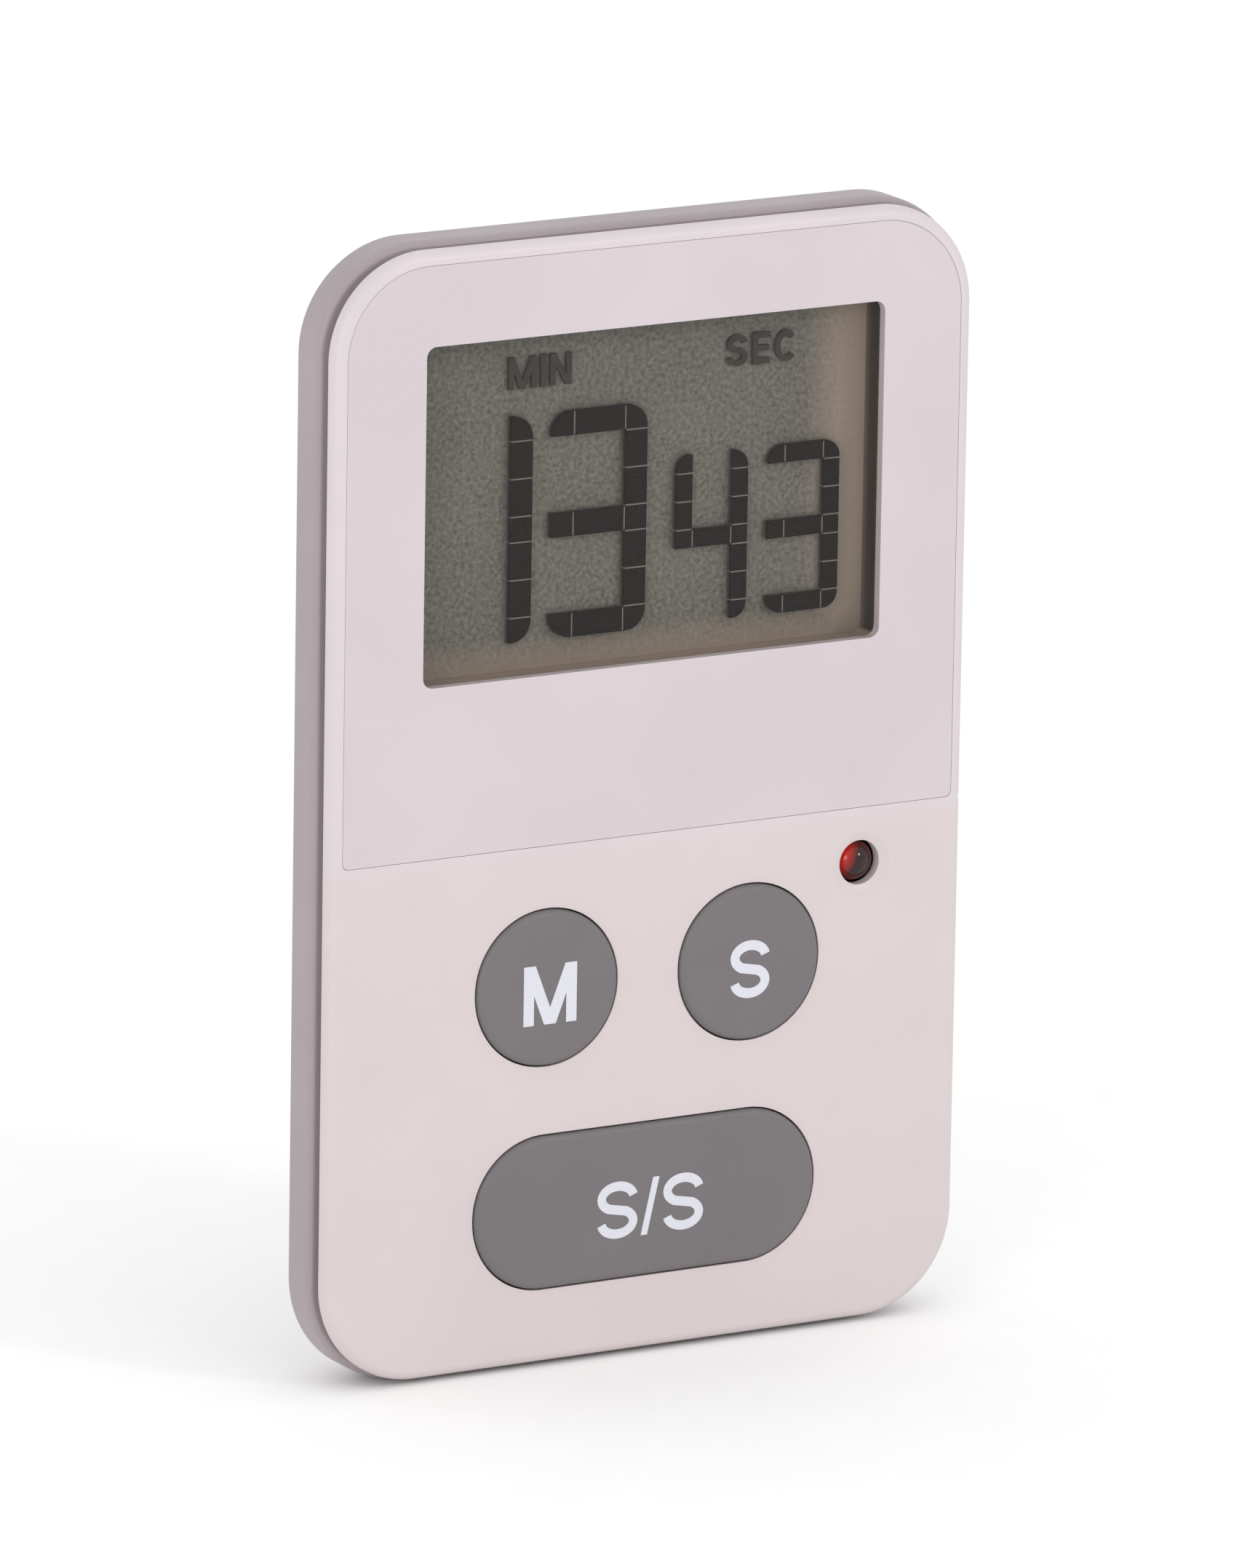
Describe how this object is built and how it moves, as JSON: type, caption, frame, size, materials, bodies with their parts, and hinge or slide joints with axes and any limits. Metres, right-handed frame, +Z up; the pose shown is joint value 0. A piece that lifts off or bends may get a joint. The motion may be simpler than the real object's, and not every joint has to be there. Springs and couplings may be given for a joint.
{
  "type": "digital countdown timer",
  "caption": "Slim upright digital countdown timer with a printed display window, round and oval keys, an alarm lamp, a coin cell door, magnets and a fold-out stand.",
  "frame": {"origin": "middle of the flat back, on the back plane, level with the middle of the front cover", "axes": "+Z up the height of the case, -Y out of the front towards the user, +X to the right seen from the front"},
  "size_m": [0.0548, 0.0093, 0.0862],
  "materials": {
    "white_case": "fine satin moulded white plastic with a faint warm cast",
    "window_panel": "clear acrylic sheet, glossy, printed pale lavender white behind round the display window",
    "grey_case": "fine spark-textured warm grey moulded plastic",
    "key_plastic": "satin mid grey moulded plastic with printed white legends",
    "display_film": "neutral grey-green polarising film",
    "display_glass": "thin float glass",
    "display_reflector": "fine sparkled silver-grey reflective film",
    "retainer_plastic": "plain moulded white plastic",
    "tape": "thin white double-sided foam tape",
    "contact_rubber": "striped conductive and insulating silicone",
    "key_rubber": "translucent grey silicone",
    "carbon_rubber": "matt black conductive rubber",
    "board": "green solder mask over glass fibre",
    "epoxy": "glossy black epoxy",
    "ceramic": "fired ceramic",
    "red_lamp": "deep red tinted clear epoxy",
    "steel": "bright nickel-plated steel",
    "brass": "bright rolled brass",
    "magnet": "dark sintered ferrite",
    "wire_red": "thin red insulation",
    "wire_black": "thin black insulation"
  },
  "bodies": {
    "case": {"front_cover": "white_case", "display_lens": "window_panel", "lens_tape": "tape", "lcd_front_polariser": "display_film", "lcd_front_glass": "display_glass", "lcd_rear_glass": "display_glass", "lcd_reflector": "display_reflector", "zebra_strip": "contact_rubber", "lcd_retainer": "retainer_plastic", "rear_cover": "grey_case", "coin_cell": "steel", "battery_contact_negative": "brass", "battery_contact_positive": "brass", "circuit_board": "board", "controller_blob": "epoxy", "watch_crystal": "steel", "chip_capacitor_1": "ceramic", "chip_capacitor_2": "ceramic", "chip_capacitor_3": "ceramic", "alarm_led": "red_lamp", "led_lead_anode": "steel", "led_lead_cathode": "steel", "keypad_mat": "key_rubber", "buzzer_plate": "brass", "buzzer_ceramic": "ceramic", "buzzer_wire_signal": "wire_red", "buzzer_wire_ground": "wire_black", "magnet_left": "magnet", "magnet_right": "magnet", "stand_pin": "steel", "case_screw_1": "steel", "case_screw_2": "steel", "case_screw_3": "steel", "case_screw_4": "steel", "board_screw_1": "steel", "board_screw_2": "steel", "board_screw_3": "steel", "retainer_screw_1": "steel", "retainer_screw_2": "steel"},
    "minutes_key": {"key_minutes": "key_plastic", "carbon_pill_minutes": "carbon_rubber"},
    "seconds_key": {"key_seconds": "key_plastic", "carbon_pill_seconds": "carbon_rubber"},
    "start_stop_key": {"key_start_stop": "key_plastic", "carbon_pill_start_stop": "carbon_rubber"},
    "battery_door": {"battery_door": "grey_case"},
    "stand": {"stand": "grey_case"}
  },
  "joints": [
    {"name": "minutes_key_press", "type": "slide", "parent": "case", "child": "minutes_key", "axis": [0, 1, 0], "range_m": [0, 0.0006], "stiffness_N_per_m": 900, "deforming": ["keypad_mat"]},
    {"name": "seconds_key_press", "type": "slide", "parent": "case", "child": "seconds_key", "axis": [0, 1, 0], "range_m": [0, 0.0006], "stiffness_N_per_m": 900, "deforming": ["keypad_mat"]},
    {"name": "start_stop_key_press", "type": "slide", "parent": "case", "child": "start_stop_key", "axis": [0, 1, 0], "range_m": [0, 0.0006], "stiffness_N_per_m": 900, "deforming": ["keypad_mat"]},
    {"name": "battery_door_turn", "type": "hinge", "parent": "case", "child": "battery_door", "pos_m": [0, 0, 0.023], "axis": [0, 1, 0], "range_deg": [0, 40]},
    {"name": "stand_fold", "type": "hinge", "parent": "case", "child": "stand", "pos_m": [0, -0.00095, -0.0042], "axis": [1, 0, 0], "range_deg": [0, 65]}
  ]
}
